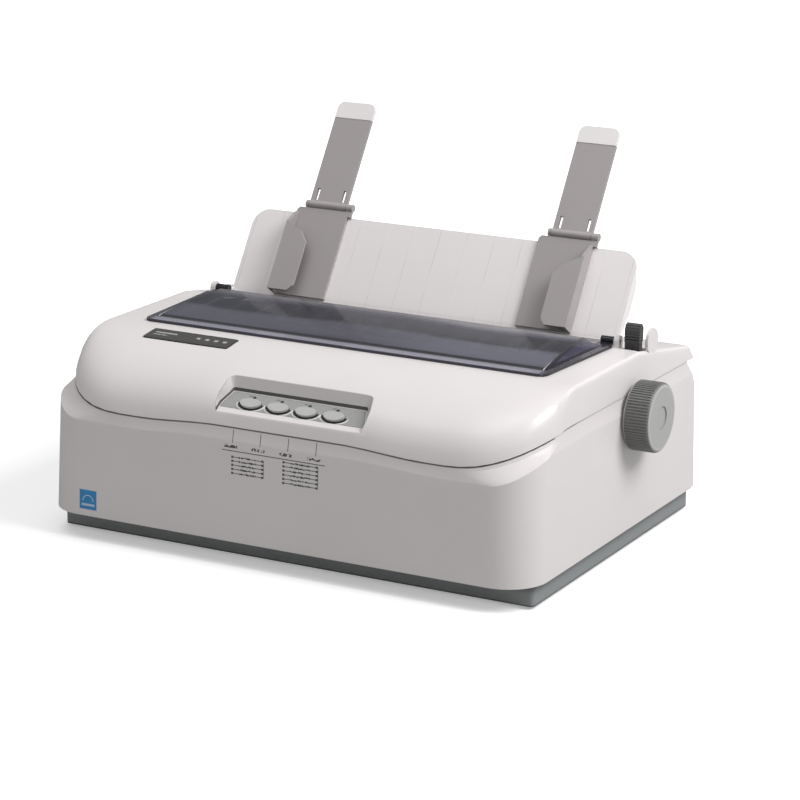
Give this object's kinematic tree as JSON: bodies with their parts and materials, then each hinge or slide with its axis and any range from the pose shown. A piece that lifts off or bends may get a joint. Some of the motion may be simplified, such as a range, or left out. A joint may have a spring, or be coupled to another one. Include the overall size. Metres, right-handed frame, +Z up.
{
  "type": "dot matrix printer",
  "caption": "Dot matrix printer: wedge-shaped body with a smoked hinged lid, a leaning sheet support with sliding guides, a key panel, a platen knob and a print carriage inside.",
  "frame": {"origin": "middle of the whole printer's footprint on the table, knob included", "axes": "+X to the printer's right along its width, +Y to the back, +Z up"},
  "size_m": [0.388, 0.2874, 0.2667],
  "materials": {
    "body_cream": "fine satin texture",
    "cover_cream": "fine satin texture",
    "tray_gray": "satin",
    "foot_rubber": "matt",
    "zinc": "zinc plated",
    "ground_steel": "ground",
    "black_plastic": "satin",
    "port_metal": "plated",
    "smoke": "smoked",
    "panel_gray": "satin",
    "button_gray": "satin",
    "board_green": "lacquered",
    "board_tan": "lacquered",
    "lamp": "clear",
    "support_gray": "fine satin texture",
    "guide_gray": "fine satin texture",
    "lever_gray": "satin",
    "knob_gray": "satin",
    "platen_rubber": "matt",
    "acetal": "smooth",
    "bronze": "sintered",
    "motor_steel": "satin",
    "head_alloy": "cast",
    "ink_fabric": "inked",
    "laminations": "varnished"
  },
  "bodies": {
    "printer": {"base_tray": "tray_gray", "rubber_feet": "foot_rubber", "screws": "zinc", "body_shell": "body_cream", "power_inlet": "black_plastic", "interface_port": "port_metal", "switch_housing": "black_plastic", "top_cover": "cover_cream", "name_plate": "black_plastic", "control_panel": "panel_gray", "panel_board": "board_green", "indicator_lamps": "lamp", "feed_motor": "motor_steel", "bushes": "bronze", "chassis_pan": "zinc", "left_side_frame": "zinc", "right_side_frame": "zinc", "front_rail": "zinc", "guide_rod": "ground_steel", "ribbon_cartridge": "black_plastic", "ribbon": "ink_fabric", "carriage_belt": "platen_rubber", "carriage_motor": "motor_steel", "paper_pan": "zinc", "tractor_rod": "ground_steel", "main_board": "board_green", "power_board": "board_tan", "transformer": "laminations"},
    "lid": {"smoked_lid": "smoke"},
    "support": {"paper_support": "support_gray"},
    "left_guide_body": {"left_guide": "guide_gray", "left_arm_pin": "ground_steel"},
    "right_guide_body": {"right_guide": "guide_gray", "right_arm_pin": "ground_steel"},
    "left_arm_body": {"left_arm": "guide_gray", "left_tip": "support_gray"},
    "right_arm_body": {"right_arm": "guide_gray", "right_tip": "support_gray"},
    "key_1": {"button_1": "button_gray"},
    "key_2": {"button_2": "button_gray"},
    "key_3": {"button_3": "button_gray"},
    "key_4": {"button_4": "button_gray"},
    "rocker": {"power_switch": "black_plastic"},
    "lever": {"release_lever": "lever_gray"},
    "platen": {"platen_knob": "knob_gray", "platen_shaft": "ground_steel", "platen_roller": "platen_rubber", "platen_gear": "acetal"},
    "idler": {"idler_gear": "acetal"},
    "pinion": {"feed_pinion": "ground_steel"},
    "carriage_body": {"carriage": "black_plastic", "print_head": "head_alloy"},
    "belt_drive": {"drive_pulley": "acetal"},
    "belt_idler": {"idler_pulley": "acetal"},
    "bail": {"paper_bail": "ground_steel"},
    "bail_wheels": {"bail_rollers": "platen_rubber"},
    "press_wheels": {"pressure_rollers": "platen_rubber"},
    "left_tractor_body": {"left_tractor": "black_plastic"},
    "right_tractor_body": {"right_tractor": "black_plastic"},
    "tractor_drive": {"tractor_shaft": "ground_steel"}
  },
  "joints": [
    {"name": "lid_hinge", "type": "hinge", "parent": "printer", "child": "lid", "pos_m": [-0.00903, 0.04475, 0.139], "axis": [-1, 0, 0], "range_deg": [0, 60]},
    {"name": "support_fold", "type": "hinge", "parent": "printer", "child": "support", "pos_m": [-0.00903, 0.05725, 0.135], "axis": [-1, 0, 0], "range_deg": [0, 40]},
    {"name": "left_guide_slide", "type": "slide", "parent": "support", "child": "left_guide_body", "axis": [1, 0, 0], "range_m": [-0.03, 0.042]},
    {"name": "right_guide_slide", "type": "slide", "parent": "support", "child": "right_guide_body", "axis": [1, 0, 0], "range_m": [-0.042, 0.03]},
    {"name": "left_arm_fold", "type": "hinge", "parent": "left_guide_body", "child": "left_arm_body", "pos_m": [-0.10653, 0.09575, 0.19704], "axis": [1, 0, 0], "range_deg": [0, 100]},
    {"name": "right_arm_fold", "type": "hinge", "parent": "right_guide_body", "child": "right_arm_body", "pos_m": [0.08847, 0.09575, 0.19704], "axis": [1, 0, 0], "range_deg": [0, 100]},
    {"name": "key_1_press", "type": "slide", "parent": "printer", "child": "key_1", "axis": [0, 0.5283, -0.8491], "range_m": [0, 0.001], "stiffness_N_per_m": 400, "springref_m": -0.0003},
    {"name": "key_2_press", "type": "slide", "parent": "printer", "child": "key_2", "axis": [0, 0.5283, -0.8491], "range_m": [0, 0.001], "stiffness_N_per_m": 400, "springref_m": -0.0003},
    {"name": "key_3_press", "type": "slide", "parent": "printer", "child": "key_3", "axis": [0, 0.5283, -0.8491], "range_m": [0, 0.001], "stiffness_N_per_m": 400, "springref_m": -0.0003},
    {"name": "key_4_press", "type": "slide", "parent": "printer", "child": "key_4", "axis": [0, 0.5283, -0.8491], "range_m": [0, 0.001], "stiffness_N_per_m": 400, "springref_m": -0.0003},
    {"name": "rocker_tilt", "type": "hinge", "parent": "printer", "child": "rocker", "pos_m": [-0.09303, 0.13425, 0.048], "axis": [1, 0, 0], "range_deg": [0, 12]},
    {"name": "lever_swing", "type": "hinge", "parent": "printer", "child": "lever", "pos_m": [0.16247, 0.04425, 0.106], "axis": [-1, 0, 0], "range_deg": [0, 16]},
    {"name": "platen_spin", "type": "hinge", "parent": "printer", "child": "platen", "pos_m": [-0.00903, 0.02325, 0.096], "axis": [1, 0, 0], "continuous": true},
    {"name": "idler_spin", "type": "hinge", "parent": "printer", "child": "idler", "pos_m": [-0.15803, 0.00765, 0.06898], "axis": [1, 0, 0], "continuous": true},
    {"name": "pinion_spin", "type": "hinge", "parent": "printer", "child": "pinion", "pos_m": [-0.15803, 0.00473, 0.05244], "axis": [1, 0, 0], "continuous": true},
    {"name": "carriage_slide", "type": "slide", "parent": "printer", "child": "carriage_body", "axis": [1, 0, 0], "range_m": [-0.098, 0.098]},
    {"name": "belt_drive_spin", "type": "hinge", "parent": "printer", "child": "belt_drive", "pos_m": [0.11997, -0.02275, 0.059], "axis": [0, 0, 1], "continuous": true},
    {"name": "belt_idler_spin", "type": "hinge", "parent": "printer", "child": "belt_idler", "pos_m": [-0.13803, -0.02275, 0.059], "axis": [0, 0, 1], "continuous": true},
    {"name": "bail_lift", "type": "hinge", "parent": "printer", "child": "bail", "pos_m": [-0.00903, 0.03625, 0.106], "axis": [-1, 0, 0], "range_deg": [0, 30]},
    {"name": "bail_wheel_spin", "type": "hinge", "parent": "bail", "child": "bail_wheels", "pos_m": [-0.00903, 0.01385, 0.11228], "axis": [1, 0, 0], "continuous": true},
    {"name": "press_wheel_spin", "type": "hinge", "parent": "printer", "child": "press_wheels", "pos_m": [-0.00903, 0.02786, 0.07881], "axis": [1, 0, 0], "continuous": true},
    {"name": "left_tractor_slide", "type": "slide", "parent": "printer", "child": "left_tractor_body", "axis": [1, 0, 0], "range_m": [-0.03, 0.03]},
    {"name": "right_tractor_slide", "type": "slide", "parent": "printer", "child": "right_tractor_body", "axis": [1, 0, 0], "range_m": [-0.03, 0.03]},
    {"name": "tractor_shaft_spin", "type": "hinge", "parent": "printer", "child": "tractor_drive", "pos_m": [-0.00903, 0.08825, 0.094], "axis": [1, 0, 0], "continuous": true}
  ],
  "couplings": [
    {"joint": "idler_spin", "follows": "platen_spin", "ratio": -1.6},
    {"joint": "pinion_spin", "follows": "platen_spin", "ratio": 4},
    {"joint": "belt_drive_spin", "follows": "carriage_slide", "rad_per_m": 166.67},
    {"joint": "belt_idler_spin", "follows": "carriage_slide", "rad_per_m": 166.67}
  ]
}
